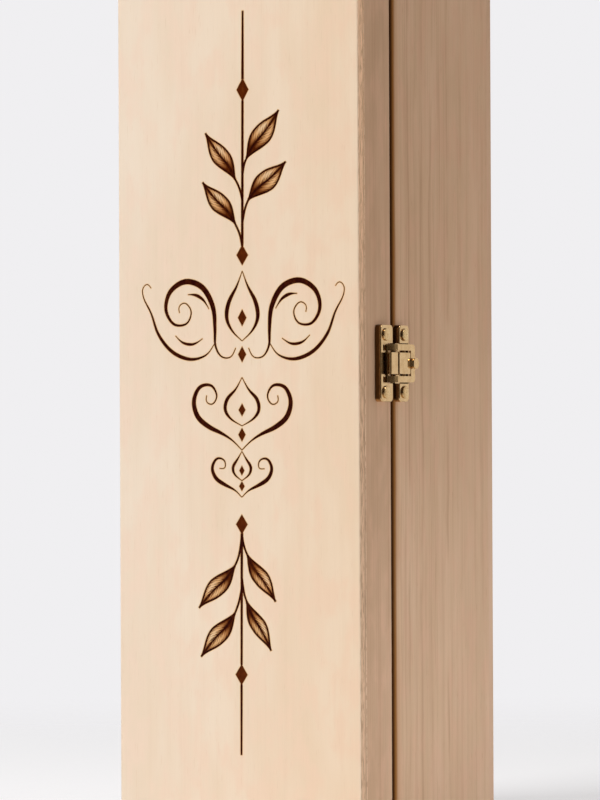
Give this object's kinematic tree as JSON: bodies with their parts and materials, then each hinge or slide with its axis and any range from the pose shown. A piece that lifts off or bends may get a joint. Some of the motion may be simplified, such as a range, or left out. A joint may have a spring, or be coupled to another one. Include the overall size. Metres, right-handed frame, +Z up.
{
  "type": "wooden wine box",
  "caption": "Upright wooden wine-bottle box with an engraved front lid on side hinges and a brass draw clasp.",
  "frame": {"origin": "middle of the standing face, on the plane that the box stands on", "axes": "+X to the clasp side (right seen from the front), +Y from the front of the lid to the back, +Z up along the box's height"},
  "size_m": [0.1211, 0.111, 0.355],
  "materials": {
    "panel_wood": "sanded, unfinished pale wood, engraved on the front",
    "side_board_wood": "sanded, unfinished straight-grained wood",
    "end_board_wood": "sanded, unfinished straight-grained wood",
    "clasp_brass": "polished brass plate",
    "hinge_brass": "polished brass plate",
    "nail_brass": "polished brass plate"
  },
  "bodies": {
    "box": {"box_left_side": "side_board_wood", "box_right_side": "side_board_wood", "box_top_end": "end_board_wood", "box_bottom_end": "end_board_wood", "box_back_panel": "panel_wood", "upper_hinge_box_leaf": "hinge_brass", "lower_hinge_box_leaf": "hinge_brass", "upper_hinge_pin": "hinge_brass", "lower_hinge_pin": "hinge_brass", "upper_hinge_box_nails": "nail_brass", "lower_hinge_box_nails": "nail_brass", "latch_base_plate": "clasp_brass", "latch_base_nails": "nail_brass", "latch_lever_pin": "clasp_brass"},
    "lid": {"lid_left_side": "side_board_wood", "lid_right_side": "side_board_wood", "lid_top_end": "end_board_wood", "lid_bottom_end": "end_board_wood", "lid_front_panel": "panel_wood", "upper_hinge_lid_leaf": "hinge_brass", "lower_hinge_lid_leaf": "hinge_brass", "upper_hinge_lid_nails": "nail_brass", "lower_hinge_lid_nails": "nail_brass", "latch_catch_plate": "clasp_brass", "latch_catch_nails": "nail_brass"},
    "latch_lever": {"latch_lever": "clasp_brass", "latch_loop_pin": "clasp_brass"},
    "latch_loop": {"latch_loop": "clasp_brass"}
  },
  "joints": [
    {"name": "lid_hinge", "type": "hinge", "parent": "box", "child": "lid", "pos_m": [-0.0572, -0.0285, 0.1775], "axis": [0, 0, -1], "range_deg": [0, 180]},
    {"name": "latch_lever_pivot", "type": "hinge", "parent": "box", "child": "latch_lever", "pos_m": [0.0582, -0.0295, 0.1851], "axis": [0, 0, -1], "range_deg": [0, 90]},
    {"name": "latch_loop_pivot", "type": "hinge", "parent": "latch_lever", "child": "latch_loop", "pos_m": [0.0579, -0.0239, 0.1851], "axis": [0, 0, -1], "range_deg": [-67.5, 0]}
  ],
  "couplings": [
    {"joint": "latch_loop_pivot", "follows": "latch_lever_pivot", "ratio": -0.75}
  ]
}
